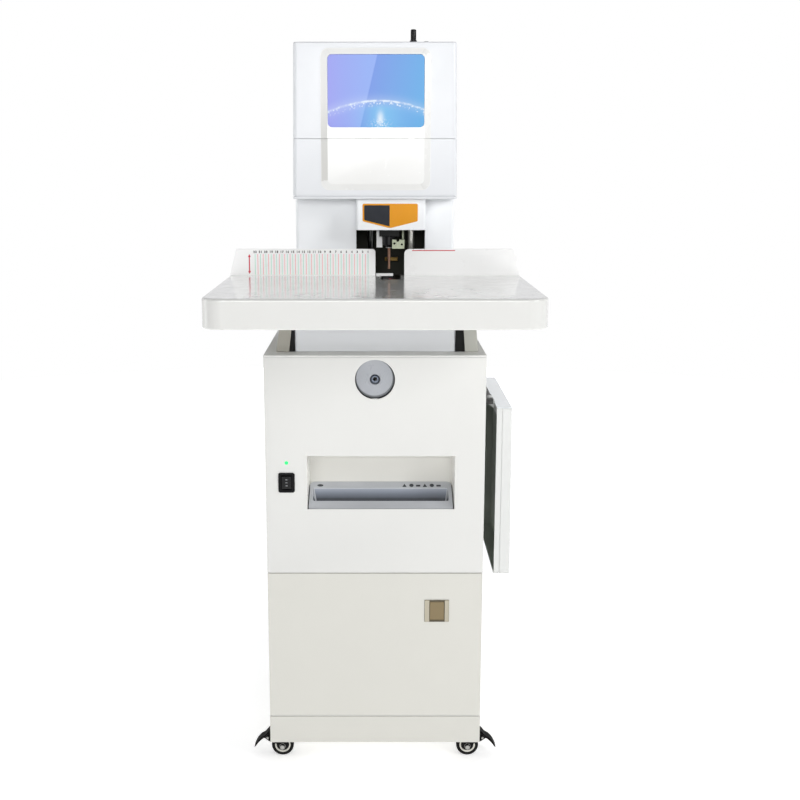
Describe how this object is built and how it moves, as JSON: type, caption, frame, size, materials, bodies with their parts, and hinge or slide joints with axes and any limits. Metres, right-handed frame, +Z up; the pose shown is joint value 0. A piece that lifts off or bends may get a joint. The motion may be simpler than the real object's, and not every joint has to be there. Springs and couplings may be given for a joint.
{
  "type": "document riveting machine",
  "caption": "Floor-standing document drilling and riveting machine on a wheeled cabinet, with touchscreen head, work table with fences, built-in shredder, pencil sharpener and drop-leaf shelf",
  "frame": {"origin": "on the floor, under the middle of the outer box", "axes": "X to the machine's right seen from the front, Y to its back, Z up"},
  "size_m": [0.543, 0.627, 1.3163],
  "materials": {
    "powder_white": "fine white powder coat",
    "cover_white": "smooth cool-white paint",
    "table_white": "glossy white lacquer",
    "bezel_white": "glossy white moulding",
    "satin_silver": "satin silver moulding",
    "machined_steel": "machined steel",
    "chrome": "hard chrome plating",
    "black_plastic": "satin black moulding",
    "black_steel": "black painted pressed steel",
    "black_cast_iron": "black painted iron casting",
    "bronze_paint": "satin bronze moulding",
    "grey_steel": "grey painted steel",
    "white_nylon": "white engineering plastic",
    "coated_drill": "copper-coloured hard coating",
    "green_lens": "lit green lens",
    "display": "lit touch panel",
    "wheel_rubber": "black rubber tread on a moulded wheel",
    "bin_grey": "grey moulded bin"
  },
  "bodies": {
    "cabinet": {"base_housing": "cover_white", "c_frame": "black_cast_iron", "cabinet_back": "powder_white", "cabinet_base": "powder_white", "cabinet_side_left": "powder_white", "cabinet_side_right": "powder_white", "cabinet_top": "powder_white", "column_cover": "cover_white", "door_hinge_rod": "machined_steel", "drill_pad": "white_nylon", "fence_left": "table_white", "fence_right": "table_white", "guide_column_left": "chrome", "guide_column_right": "chrome", "head_lower_cover": "cover_white", "head_upper_cover": "cover_white", "mains_inlet": "black_plastic", "rear_cover": "cover_white", "rivet_die_lower": "machined_steel", "screen_bezel": "bezel_white", "sharpener_dish": "satin_silver", "sharpener_housing": "black_plastic", "shelf_hinge_bracket": "machined_steel", "shredder_faceplate": "satin_silver", "shredder_frame": "grey_steel", "shredder_motor": "machined_steel", "shredder_recess_liner": "powder_white", "status_led": "green_lens", "switch_housing": "black_plastic", "table_bracket_left": "grey_steel", "table_bracket_right": "grey_steel", "table_top": "table_white", "throat_guard": "cover_white", "touchscreen": "display", "upper_front_panel": "powder_white", "waste_bin": "bin_grey"},
    "door": {"door_panel": "powder_white", "latch_housing": "bronze_paint"},
    "latch_flap": {"latch_paddle": "bronze_paint"},
    "power_rocker": {"switch_rocker": "black_plastic"},
    "front_cutter": {"cutter_shaft_front": "machined_steel"},
    "rear_cutter": {"cutter_shaft_rear": "machined_steel"},
    "sharpener_head": {"sharpener_cutter": "machined_steel"},
    "knob": {"top_knob": "black_plastic"},
    "shelf": {"shelf_panel": "powder_white"},
    "carriage": {"drill_carriage": "black_cast_iron"},
    "spindle": {"drill_spindle": "black_steel", "drill_bit": "coated_drill"},
    "presser": {"press_foot": "machined_steel"},
    "rivet_slider": {"rivet_head": "white_nylon"},
    "fork_front_left": {"caster_fork_front_left": "black_steel"},
    "wheel_front_left": {"caster_wheel_front_left": "wheel_rubber"},
    "fork_front_right": {"caster_fork_front_right": "black_steel"},
    "wheel_front_right": {"caster_wheel_front_right": "wheel_rubber"},
    "fork_rear_left": {"caster_fork_rear_left": "black_steel"},
    "wheel_rear_left": {"caster_wheel_rear_left": "wheel_rubber"},
    "fork_rear_right": {"caster_fork_rear_right": "black_steel"},
    "wheel_rear_right": {"caster_wheel_rear_right": "wheel_rubber"},
    "brake_front_left": {"brake_pedal_front_left": "black_plastic"},
    "brake_front_right": {"brake_pedal_front_right": "black_plastic"}
  },
  "joints": [
    {"name": "door_hinge", "type": "hinge", "parent": "cabinet", "child": "door", "pos_m": [-0.181, -0.1375, 0.24], "axis": [0, 0, -1], "range_deg": [0, 110]},
    {"name": "latch_hinge", "type": "hinge", "parent": "door", "child": "latch_flap", "pos_m": [0.11, -0.1455, 0.3202], "axis": [1, 0, 0], "range_deg": [0, 26], "stiffness_Nm_per_rad": 0.05, "springref_deg": -5.73},
    {"name": "rocker_tilt", "type": "hinge", "parent": "cabinet", "child": "power_rocker", "pos_m": [-0.15345, -0.145, 0.5406], "axis": [-1, 0, 0], "range_deg": [0, 14]},
    {"name": "front_cutter_spin", "type": "hinge", "parent": "cabinet", "child": "front_cutter", "pos_m": [0.01, -0.1015, 0.445], "axis": [1, 0, 0], "continuous": true},
    {"name": "rear_cutter_spin", "type": "hinge", "parent": "cabinet", "child": "rear_cutter", "pos_m": [0.01, -0.0715, 0.445], "axis": [1, 0, 0], "continuous": true},
    {"name": "sharpener_spin", "type": "hinge", "parent": "cabinet", "child": "sharpener_head", "pos_m": [0, -0.1065, 0.7221], "axis": [0, 1, 0], "continuous": true},
    {"name": "knob_turn", "type": "hinge", "parent": "cabinet", "child": "knob", "pos_m": [0.0682, 0.0535, 1.305], "axis": [0, 0, 1], "range_deg": [-150, 150]},
    {"name": "shelf_hinge", "type": "hinge", "parent": "cabinet", "child": "shelf", "pos_m": [0.204, 0.0275, 0.672], "axis": [0, -1, 0], "range_deg": [0, 90]},
    {"name": "swivel_front_left", "type": "hinge", "parent": "cabinet", "child": "fork_front_left", "pos_m": [-0.15, -0.0865, 0.05], "axis": [0, 0, 1], "continuous": true},
    {"name": "spin_front_left", "type": "hinge", "parent": "fork_front_left", "child": "wheel_front_left", "pos_m": [-0.172, -0.0865, 0.0205], "axis": [0, 1, 0], "continuous": true},
    {"name": "brake_front_left", "type": "hinge", "parent": "fork_front_left", "child": "brake_front_left", "pos_m": [-0.1994, -0.0865, 0.038], "axis": [0, -1, 0], "range_deg": [0, 15]},
    {"name": "swivel_front_right", "type": "hinge", "parent": "cabinet", "child": "fork_front_right", "pos_m": [0.15, -0.0865, 0.05], "axis": [0, 0, 1], "continuous": true},
    {"name": "spin_front_right", "type": "hinge", "parent": "fork_front_right", "child": "wheel_front_right", "pos_m": [0.172, -0.0865, 0.0205], "axis": [0, 1, 0], "continuous": true},
    {"name": "brake_front_right", "type": "hinge", "parent": "fork_front_right", "child": "brake_front_right", "pos_m": [0.1994, -0.0865, 0.038], "axis": [0, 1, 0], "range_deg": [0, 15]},
    {"name": "swivel_rear_left", "type": "hinge", "parent": "cabinet", "child": "fork_rear_left", "pos_m": [-0.15, 0.2535, 0.05], "axis": [0, 0, 1], "continuous": true},
    {"name": "spin_rear_left", "type": "hinge", "parent": "fork_rear_left", "child": "wheel_rear_left", "pos_m": [-0.15, 0.2315, 0.0205], "axis": [1, 0, 0], "continuous": true},
    {"name": "swivel_rear_right", "type": "hinge", "parent": "cabinet", "child": "fork_rear_right", "pos_m": [0.15, 0.2535, 0.05], "axis": [0, 0, 1], "continuous": true},
    {"name": "spin_rear_right", "type": "hinge", "parent": "fork_rear_right", "child": "wheel_rear_right", "pos_m": [0.15, 0.2315, 0.0205], "axis": [1, 0, 0], "continuous": true},
    {"name": "drill_feed", "type": "slide", "parent": "cabinet", "child": "carriage", "axis": [0, 0, 1], "range_m": [-0.012, 0.04]},
    {"name": "spindle_spin", "type": "hinge", "parent": "carriage", "child": "spindle", "pos_m": [0.026, 0.0625, 0.945], "axis": [0, 0, 1], "continuous": true},
    {"name": "presser_travel", "type": "slide", "parent": "carriage", "child": "presser", "axis": [0, 0, 1], "range_m": [0, 0.02]},
    {"name": "rivet_stroke", "type": "slide", "parent": "carriage", "child": "rivet_slider", "axis": [0, 0, -1], "range_m": [0, 0.02]}
  ],
  "couplings": [
    {"joint": "rear_cutter_spin", "follows": "front_cutter_spin", "ratio": -1}
  ]
}
